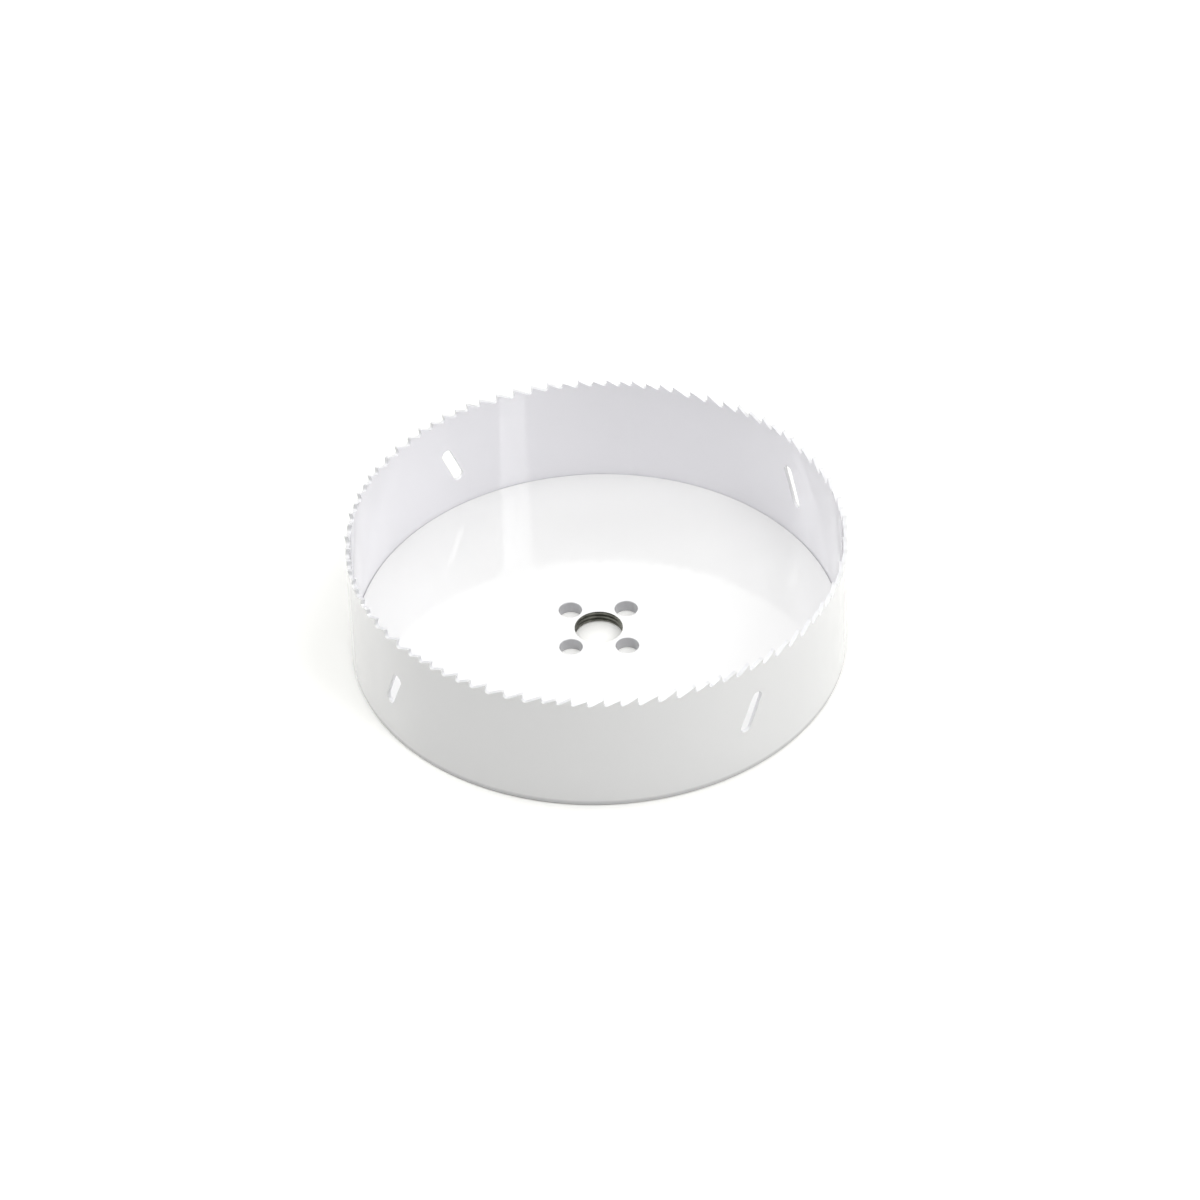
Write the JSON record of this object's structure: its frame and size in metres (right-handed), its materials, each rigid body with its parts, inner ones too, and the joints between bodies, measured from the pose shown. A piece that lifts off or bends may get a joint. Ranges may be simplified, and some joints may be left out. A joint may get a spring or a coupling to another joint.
{
  "type": "hole saw",
  "caption": "Large cup-shaped bi-metal hole saw: toothed, slotted band welded round a thick cap plate with a threaded arbor bore and drive pin holes.",
  "frame": {"origin": "centre of the cap plate's back face, where the arbor's flange seats", "axes": "+Z along the saw's axis, out of the open cup towards the teeth; +X to the right as seen from the front; the butt weld of the band is at about 80 degrees from +X towards +Y"},
  "size_m": [0.1522, 0.1522, 0.0413],
  "materials": {
    "white_enamel": "glossy white baked enamel on steel"
  },
  "bodies": {
    "root": {"saw_band": "white_enamel", "cap_plate": "white_enamel", "ring_weld": "white_enamel"}
  },
  "joints": []
}
